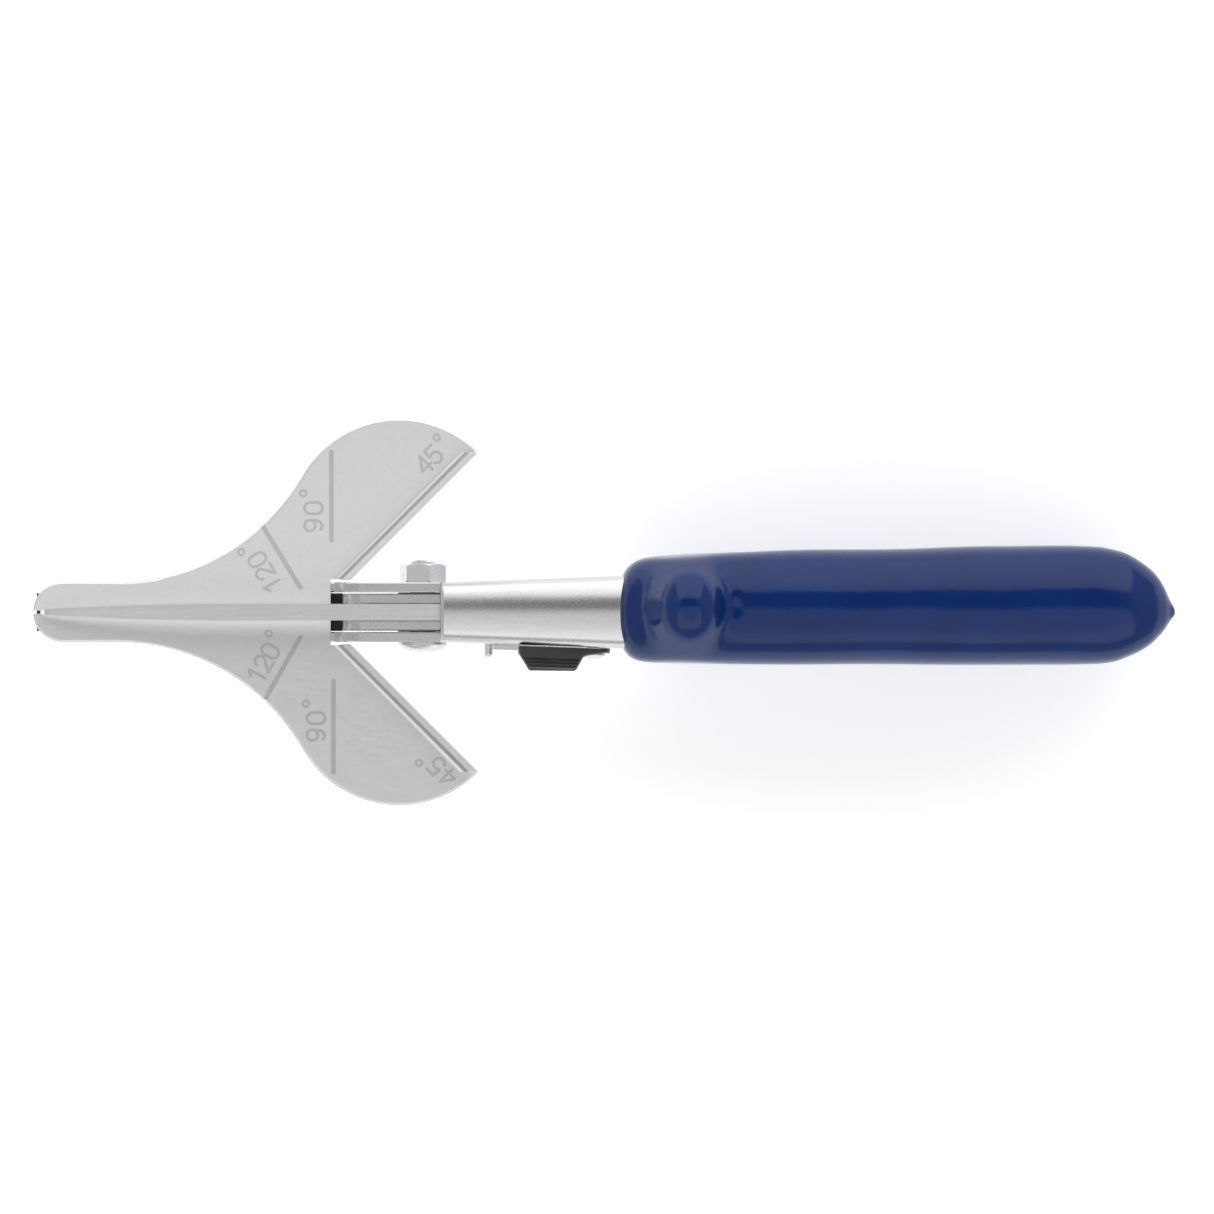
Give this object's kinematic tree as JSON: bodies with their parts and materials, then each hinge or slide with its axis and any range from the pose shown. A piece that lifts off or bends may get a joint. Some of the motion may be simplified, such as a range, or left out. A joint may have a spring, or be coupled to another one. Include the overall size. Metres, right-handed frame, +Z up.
{
  "type": "mitre shears",
  "caption": "Hand mitre shears: a V-ground blade closing on an angled two-wing table, with a lockable pair of dipped handles.",
  "frame": {"origin": "on the surface the closed tool stands on, below the middle of its overall box", "axes": "+X from the nose to the ends of the handles, +Z up out of the table towards the blade's spine, +Y to the left_wing_plate"},
  "size_m": [0.2214, 0.0754, 0.058],
  "materials": {
    "bright_zinc_sheet": "bright zinc-plated sheet steel, satin",
    "chromed_steel": "bright chrome plate with soft rolling marks",
    "ground_blade_steel": "ground lengthwise, satin",
    "plated_fasteners": "bright zinc plate",
    "black_plastic": "moulded, satin black",
    "spring_steel": "drawn spring wire",
    "blue_dipped_vinyl": "glossy plastisol dip"
  },
  "bodies": {
    "root": {"lower_handle_channel": "chromed_steel", "cutting_blade": "ground_blade_steel", "blade_rivets": "plated_fasteners", "catch_pin": "plated_fasteners", "opening_spring": "spring_steel", "lower_grip": "blue_dipped_vinyl", "lower_spring_seat": "plated_fasteners"},
    "upper_handle": {"upper_handle_channel": "chromed_steel", "upper_grip": "blue_dipped_vinyl", "left_wing_plate": "bright_zinc_sheet", "right_wing_plate": "bright_zinc_sheet", "table_weld_beads": "bright_zinc_sheet", "anvil_bar": "black_plastic", "anvil_dowels": "plated_fasteners", "pivot_bolt": "plated_fasteners", "pivot_nut": "plated_fasteners", "pivot_shims": "black_plastic", "lock_pivot_rivet": "plated_fasteners", "upper_spring_seat": "plated_fasteners"},
    "lock_lever": {"lock_lever_plate": "plated_fasteners", "lock_thumb_cap": "black_plastic"}
  },
  "joints": [
    {"name": "handles_open", "type": "hinge", "parent": "root", "child": "upper_handle", "pos_m": [-0.0347, 0, 0.029], "axis": [0, -1, 0], "range_deg": [0, 20], "deforming": ["opening_spring"]},
    {"name": "lock_swing", "type": "hinge", "parent": "upper_handle", "child": "lock_lever", "pos_m": [-0.0015, -0.0068, 0.035], "axis": [0.0338, 0.9994, 0], "range_deg": [0, 8]}
  ]
}
